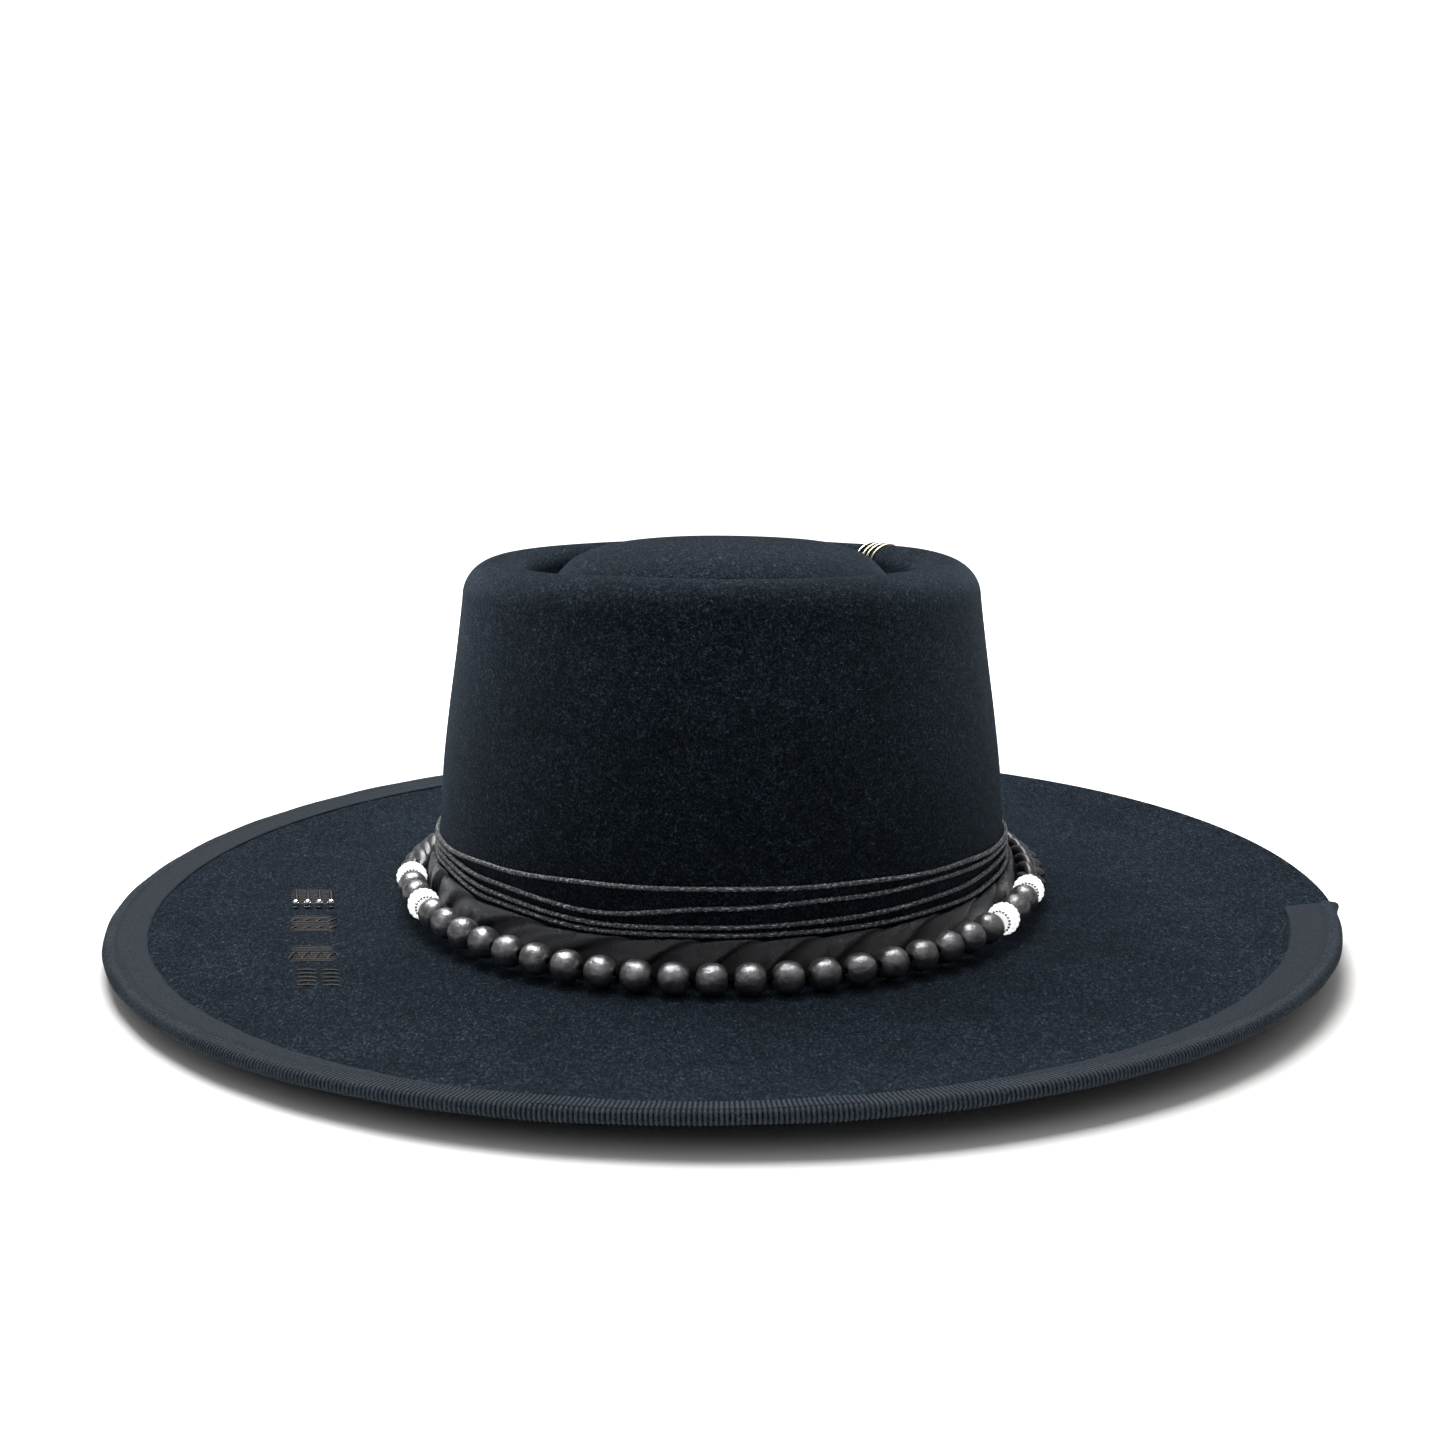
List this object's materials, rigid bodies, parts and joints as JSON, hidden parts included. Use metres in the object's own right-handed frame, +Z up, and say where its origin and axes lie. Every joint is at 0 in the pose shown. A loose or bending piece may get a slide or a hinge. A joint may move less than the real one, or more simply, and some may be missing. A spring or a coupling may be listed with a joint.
{
  "type": "wide-brimmed felt hat",
  "caption": "Black felt hat with a wide flat brim, telescope crown, ribbon-bound edge, satin twist, waxed cords and a bead strand with silver accents.",
  "frame": {"origin": "centre of the hat's outline, on the plane that the flat inner ring of the brim rests on", "axes": "+Z up through the crown; +Y from the front of the hat to its back, along its length; +X to the right as seen from the front"},
  "size_m": [0.373, 0.406, 0.1148],
  "materials": {
    "felt": "matt near-black wool felt with a fine nap",
    "grosgrain": "charcoal ribbed grosgrain ribbon",
    "sweatband_leather": "smooth black leather",
    "reed": "dull extruded plastic",
    "satin": "black twill-weave satin, soft sheen",
    "waxed_cord": "waxed twisted cotton, low gloss",
    "string": "dull black thread",
    "braid": "dark grey leather lace, satin",
    "dark_bead": "dark polished bead, satin highlights",
    "silver_bead": "bright silver set with small clear stones",
    "stud_metal": "polished silver",
    "thread": "black embroidery thread",
    "stitch_wire": "pale gold metallic thread"
  },
  "bodies": {
    "hat": {"felt_body": "felt", "brim_binding": "grosgrain", "sweatband": "sweatband_leather", "sweatband_reed": "reed", "ball_stud_1": "stud_metal", "ball_stud_2": "stud_metal", "ball_stud_3": "stud_metal", "ball_stud_4": "stud_metal", "stitched_bar_1": "thread", "stitched_bar_2": "thread", "stitched_bar_3": "thread", "stitched_bar_4": "thread", "crown_stitch_1": "stitch_wire", "crown_stitch_2": "stitch_wire", "crown_stitch_3": "stitch_wire", "crown_stitch_4": "stitch_wire"},
    "crown_wrap": {"satin_twist": "satin", "waxed_cord_1": "waxed_cord", "waxed_cord_2": "waxed_cord", "waxed_cord_3": "waxed_cord", "waxed_cord_4": "waxed_cord"},
    "bead_strand": {"bead_string": "string", "braided_rope": "braid"},
    "bead_01_body": {"bead_01": "silver_bead"},
    "bead_02_body": {"bead_02": "dark_bead"},
    "bead_03_body": {"bead_03": "dark_bead"},
    "bead_04_body": {"bead_04": "silver_bead"},
    "bead_05_body": {"bead_05": "dark_bead"},
    "bead_06_body": {"bead_06": "dark_bead"},
    "bead_07_body": {"bead_07": "dark_bead"},
    "bead_08_body": {"bead_08": "dark_bead"},
    "bead_09_body": {"bead_09": "dark_bead"},
    "bead_10_body": {"bead_10": "dark_bead"},
    "bead_11_body": {"bead_11": "dark_bead"},
    "bead_12_body": {"bead_12": "dark_bead"},
    "bead_13_body": {"bead_13": "dark_bead"},
    "bead_14_body": {"bead_14": "dark_bead"},
    "bead_15_body": {"bead_15": "dark_bead"},
    "bead_16_body": {"bead_16": "dark_bead"},
    "bead_17_body": {"bead_17": "dark_bead"},
    "bead_18_body": {"bead_18": "dark_bead"},
    "bead_19_body": {"bead_19": "dark_bead"},
    "bead_20_body": {"bead_20": "dark_bead"},
    "bead_21_body": {"bead_21": "dark_bead"},
    "bead_22_body": {"bead_22": "dark_bead"},
    "bead_23_body": {"bead_23": "dark_bead"},
    "bead_24_body": {"bead_24": "dark_bead"},
    "bead_25_body": {"bead_25": "silver_bead"},
    "bead_26_body": {"bead_26": "dark_bead"},
    "bead_27_body": {"bead_27": "dark_bead"},
    "bead_28_body": {"bead_28": "silver_bead"}
  },
  "joints": [
    {"name": "crown_wrap_lift", "type": "slide", "parent": "hat", "child": "crown_wrap", "axis": [0, 0, 1], "range_m": [0, 0.13]},
    {"name": "bead_strand_lift", "type": "slide", "parent": "hat", "child": "bead_strand", "axis": [0, 0, 1], "range_m": [0, 0.13]},
    {"name": "bead_01_spin", "type": "hinge", "parent": "bead_strand", "child": "bead_01_body", "pos_m": [-0.09581, -0.02437, 0.0118], "axis": [0.1648, -0.9862, -0.0168], "continuous": true},
    {"name": "bead_02_spin", "type": "hinge", "parent": "bead_strand", "child": "bead_02_body", "pos_m": [-0.09379, -0.03419, 0.0116], "axis": [0.2392, -0.9707, -0.0239], "continuous": true},
    {"name": "bead_03_spin", "type": "hinge", "parent": "bead_strand", "child": "bead_03_body", "pos_m": [-0.09101, -0.04382, 0.01132], "axis": [0.3157, -0.9484, -0.0305], "continuous": true},
    {"name": "bead_04_spin", "type": "hinge", "parent": "bead_strand", "child": "bead_04_body", "pos_m": [-0.08745, -0.05319, 0.01099], "axis": [0.3936, -0.9186, -0.0364], "continuous": true},
    {"name": "bead_05_spin", "type": "hinge", "parent": "bead_strand", "child": "bead_05_body", "pos_m": [-0.08311, -0.06222, 0.0106], "axis": [0.4721, -0.8806, -0.0413], "continuous": true},
    {"name": "bead_06_spin", "type": "hinge", "parent": "bead_strand", "child": "bead_06_body", "pos_m": [-0.07798, -0.07082, 0.01016], "axis": [0.5506, -0.8335, -0.045], "continuous": true},
    {"name": "bead_07_spin", "type": "hinge", "parent": "bead_strand", "child": "bead_07_body", "pos_m": [-0.07207, -0.07891, 0.0097], "axis": [0.6279, -0.7769, -0.0471], "continuous": true},
    {"name": "bead_08_spin", "type": "hinge", "parent": "bead_strand", "child": "bead_08_body", "pos_m": [-0.0654, -0.08637, 0.00922], "axis": [0.7027, -0.7099, -0.0475], "continuous": true},
    {"name": "bead_09_spin", "type": "hinge", "parent": "bead_strand", "child": "bead_09_body", "pos_m": [-0.05799, -0.09311, 0.00875], "axis": [0.7731, -0.6327, -0.0459], "continuous": true},
    {"name": "bead_10_spin", "type": "hinge", "parent": "bead_strand", "child": "bead_10_body", "pos_m": [-0.04991, -0.09903, 0.00831], "axis": [0.8372, -0.5452, -0.0422], "continuous": true},
    {"name": "bead_11_spin", "type": "hinge", "parent": "bead_strand", "child": "bead_11_body", "pos_m": [-0.04122, -0.10402, 0.00791], "axis": [0.893, -0.4486, -0.0367], "continuous": true},
    {"name": "bead_12_spin", "type": "hinge", "parent": "bead_strand", "child": "bead_12_body", "pos_m": [-0.03203, -0.108, 0.00758], "axis": [0.9383, -0.3446, -0.0293], "continuous": true},
    {"name": "bead_13_spin", "type": "hinge", "parent": "bead_strand", "child": "bead_13_body", "pos_m": [-0.02244, -0.11091, 0.00733], "axis": [0.9715, -0.236, -0.0207], "continuous": true},
    {"name": "bead_14_spin", "type": "hinge", "parent": "bead_strand", "child": "bead_14_body", "pos_m": [-0.01258, -0.11273, 0.00717], "axis": [0.9919, -0.1269, -0.0113], "continuous": true},
    {"name": "bead_15_spin", "type": "hinge", "parent": "bead_strand", "child": "bead_15_body", "pos_m": [-0.00259, -0.11347, 0.0071], "axis": [0.9997, -0.023, -0.0021], "continuous": true},
    {"name": "bead_16_spin", "type": "hinge", "parent": "bead_strand", "child": "bead_16_body", "pos_m": [0.00744, -0.11324, 0.00712], "axis": [0.9974, 0.0718, 0.0064], "continuous": true},
    {"name": "bead_17_spin", "type": "hinge", "parent": "bead_strand", "child": "bead_17_body", "pos_m": [0.01738, -0.11199, 0.00724], "axis": [0.9836, 0.1797, 0.0159], "continuous": true},
    {"name": "bead_18_spin", "type": "hinge", "parent": "bead_strand", "child": "bead_18_body", "pos_m": [0.02713, -0.10964, 0.00744], "axis": [0.957, 0.2891, 0.025], "continuous": true},
    {"name": "bead_19_spin", "type": "hinge", "parent": "bead_strand", "child": "bead_19_body", "pos_m": [0.03654, -0.1062, 0.00773], "axis": [0.9178, 0.3958, 0.0331], "continuous": true},
    {"name": "bead_20_spin", "type": "hinge", "parent": "bead_strand", "child": "bead_20_body", "pos_m": [0.0455, -0.10172, 0.0081], "axis": [0.8672, 0.4964, 0.0396], "continuous": true},
    {"name": "bead_21_spin", "type": "hinge", "parent": "bead_strand", "child": "bead_21_body", "pos_m": [0.05391, -0.09627, 0.00852], "axis": [0.8071, 0.5888, 0.0443], "continuous": true},
    {"name": "bead_22_spin", "type": "hinge", "parent": "bead_strand", "child": "bead_22_body", "pos_m": [0.06167, -0.08994, 0.00898], "axis": [0.7396, 0.6714, 0.0469], "continuous": true},
    {"name": "bead_23_spin", "type": "hinge", "parent": "bead_strand", "child": "bead_23_body", "pos_m": [0.06872, -0.08284, 0.00945], "axis": [0.6669, 0.7436, 0.0475], "continuous": true},
    {"name": "bead_24_spin", "type": "hinge", "parent": "bead_strand", "child": "bead_24_body", "pos_m": [0.07503, -0.07506, 0.00993], "axis": [0.5907, 0.8055, 0.0463], "continuous": true},
    {"name": "bead_25_spin", "type": "hinge", "parent": "bead_strand", "child": "bead_25_body", "pos_m": [0.08057, -0.06671, 0.01038], "axis": [0.5126, 0.8575, 0.0434], "continuous": true},
    {"name": "bead_26_spin", "type": "hinge", "parent": "bead_strand", "child": "bead_26_body", "pos_m": [0.08531, -0.05789, 0.01079], "axis": [0.434, 0.9, 0.0391], "continuous": true},
    {"name": "bead_27_spin", "type": "hinge", "parent": "bead_strand", "child": "bead_27_body", "pos_m": [0.08927, -0.04868, 0.01116], "axis": [0.3556, 0.934, 0.0336], "continuous": true},
    {"name": "bead_28_spin", "type": "hinge", "parent": "bead_strand", "child": "bead_28_body", "pos_m": [0.09245, -0.03918, 0.01146], "axis": [0.2784, 0.9601, 0.0273], "continuous": true}
  ]
}
